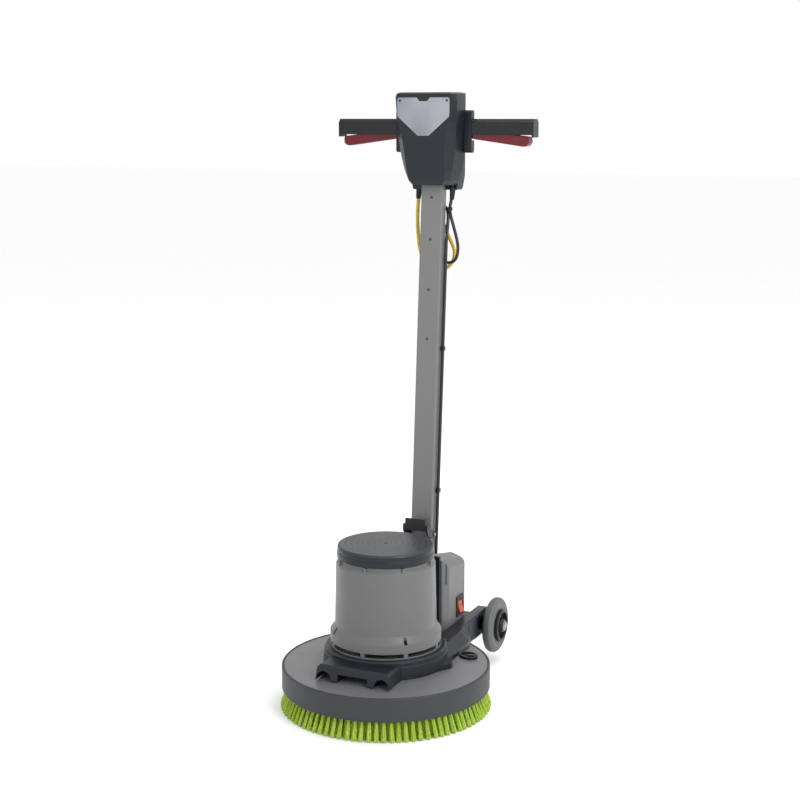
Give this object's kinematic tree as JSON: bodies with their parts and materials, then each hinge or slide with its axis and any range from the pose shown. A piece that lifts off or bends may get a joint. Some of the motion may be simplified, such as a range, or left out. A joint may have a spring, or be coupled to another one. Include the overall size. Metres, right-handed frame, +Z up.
{
  "type": "rotary floor machine",
  "caption": "Single-disc floor scrubber: round deck with a rotating brush, upright motor and gearbox, tilting handle pole with squeeze levers, and two transport wheels.",
  "frame": {"origin": "the point on the floor under the brush's axis, on the plane of the bristle tips", "axes": "+Z up along the brush and motor axis, +Y rearwards to the operator and the transport wheels, +X to the wheel side that carries the rocker switch"},
  "size_m": [0.45, 0.636, 1.276],
  "materials": {
    "slate_plastic": "satin moulded",
    "grey_plastic": "fine satin",
    "deck_plastic": "satin moulded",
    "skirt_rubber": "matte",
    "pole_paint": "satin powder coat",
    "black_plastic": "satin",
    "grip_plastic": "satin",
    "red_plastic": "satin",
    "orange_plastic": "gloss",
    "bristle_green": "bristle",
    "brush_block": "moulded",
    "panel_silver": "printed metallic film",
    "yellow_cord": "PVC",
    "black_cable": "PVC",
    "grey_tyre": "moulded rubber",
    "steel": "zinc plated",
    "dark_steel": "black oxide",
    "lamination_steel": "laminated",
    "cast_alloy": "as cast",
    "copper": "enamelled wire",
    "gear_nylon": "moulded nylon"
  },
  "bodies": {
    "chassis": {"deck_shell": "deck_plastic", "bumper_skirt": "skirt_rubber", "port_plug": "black_plastic", "chassis_yoke": "slate_plastic", "gearbox_housing": "cast_alloy", "ring_gear": "steel", "gearbox_cover": "cast_alloy", "ball_bearings": "steel", "motor_housing": "grey_plastic", "motor_cap": "slate_plastic", "stator_core": "lamination_steel", "stator_windings": "copper", "upper_end_bracket": "cast_alloy", "rear_housing": "grey_plastic", "rear_cover": "grey_plastic", "housing_screws": "dark_steel", "rocker_bezel": "black_plastic", "run_capacitor": "cast_alloy", "pivot_bracket": "dark_steel", "pivot_pin": "steel", "axle": "steel", "axle_caps": "steel"},
    "rotor": {"motor_shaft": "steel", "rotor_core": "lamination_steel", "cooling_fan": "black_plastic"},
    "brush": {"planet_carrier": "steel", "drive_plate": "black_plastic", "brush_block": "brush_block", "bristle_ring": "bristle_green"},
    "planet_1": {"planet_gear_1": "gear_nylon"},
    "planet_2": {"planet_gear_2": "gear_nylon"},
    "planet_3": {"planet_gear_3": "gear_nylon"},
    "wheel_left": {"wheel_tyre_left": "grey_tyre", "wheel_hub_left": "black_plastic"},
    "wheel_right": {"wheel_tyre_right": "grey_tyre", "wheel_hub_right": "black_plastic"},
    "pole": {"handle_pole": "pole_paint", "pivot_bush": "gear_nylon", "handle_screws": "dark_steel", "hinge_pins": "steel", "head_front_cover": "slate_plastic", "head_rear_housing": "slate_plastic", "control_panel": "panel_silver", "switch_module": "black_plastic", "grip_left": "grip_plastic", "grip_right": "grip_plastic", "grip_brackets": "slate_plastic", "motor_lead_loop": "black_cable", "motor_lead_run": "black_cable", "mains_cord": "yellow_cord", "mains_plug": "black_plastic", "cable_clips": "black_plastic", "cord_glands": "black_plastic"},
    "lever_left": {"lever_left": "red_plastic"},
    "lever_right": {"lever_right": "red_plastic"},
    "foot_pedal": {"foot_pedal": "dark_steel"},
    "latch_rod": {"latch_rod": "steel"},
    "lock_button": {"lock_button": "red_plastic"},
    "rocker": {"rocker_switch": "orange_plastic"}
  },
  "joints": [
    {"name": "brush_spin", "type": "hinge", "parent": "chassis", "child": "brush", "pos_m": [0, 0, 0.07], "axis": [0, 0, 1], "continuous": true},
    {"name": "rotor_spin", "type": "hinge", "parent": "chassis", "child": "rotor", "pos_m": [0, 0, 0.2], "axis": [0, 0, 1], "continuous": true},
    {"name": "planet_1_spin", "type": "hinge", "parent": "brush", "child": "planet_1", "pos_m": [0.0315, 0, 0.119], "axis": [0, 0, 1], "continuous": true},
    {"name": "planet_2_spin", "type": "hinge", "parent": "brush", "child": "planet_2", "pos_m": [-0.01575, 0.02728, 0.119], "axis": [0, 0, 1], "continuous": true},
    {"name": "planet_3_spin", "type": "hinge", "parent": "brush", "child": "planet_3", "pos_m": [-0.01575, -0.02728, 0.119], "axis": [0, 0, 1], "continuous": true},
    {"name": "wheel_left_spin", "type": "hinge", "parent": "chassis", "child": "wheel_left", "pos_m": [0.116, 0.349, 0.082], "axis": [1, 0, 0], "continuous": true},
    {"name": "wheel_right_spin", "type": "hinge", "parent": "chassis", "child": "wheel_right", "pos_m": [-0.116, 0.349, 0.082], "axis": [1, 0, 0], "continuous": true},
    {"name": "pole_tilt", "type": "hinge", "parent": "chassis", "child": "pole", "pos_m": [0, 0.186, 0.15], "axis": [-1, 0, 0], "range_deg": [0, 55]},
    {"name": "pedal_press", "type": "hinge", "parent": "pole", "child": "foot_pedal", "pos_m": [0, 0.19382, 0.3239], "axis": [1, 0, 0], "range_deg": [0, 18], "stiffness_Nm_per_rad": 4, "springref_deg": -8.59},
    {"name": "latch_slide", "type": "slide", "parent": "pole", "child": "latch_rod", "axis": [0, 0.0736, 0.9973], "range_m": [0, 0.008]},
    {"name": "lever_left_squeeze", "type": "hinge", "parent": "pole", "child": "lever_left", "pos_m": [0.079, 0.266, 1.199], "axis": [0, -1, 0], "range_deg": [0, 7], "stiffness_Nm_per_rad": 6, "springref_deg": -6.88},
    {"name": "lever_right_squeeze", "type": "hinge", "parent": "pole", "child": "lever_right", "pos_m": [-0.079, 0.266, 1.199], "axis": [0, 1, 0], "range_deg": [0, 7], "stiffness_Nm_per_rad": 6, "springref_deg": -6.88},
    {"name": "lock_button_press", "type": "slide", "parent": "pole", "child": "lock_button", "axis": [0, -1, 0], "range_m": [0, 0.004], "stiffness_N_per_m": 600, "springref_m": -0.002},
    {"name": "rocker_flip", "type": "hinge", "parent": "chassis", "child": "rocker", "pos_m": [0.069, 0.229, 0.157], "axis": [0, 1, 0], "range_deg": [0, 14]}
  ],
  "couplings": [
    {"joint": "rotor_spin", "follows": "brush_spin", "ratio": 7},
    {"joint": "planet_1_spin", "follows": "brush_spin", "ratio": -2.4},
    {"joint": "planet_2_spin", "follows": "brush_spin", "ratio": -2.4},
    {"joint": "planet_3_spin", "follows": "brush_spin", "ratio": -2.4},
    {"joint": "latch_slide", "follows": "pedal_press", "m_per_rad": 0.022}
  ]
}
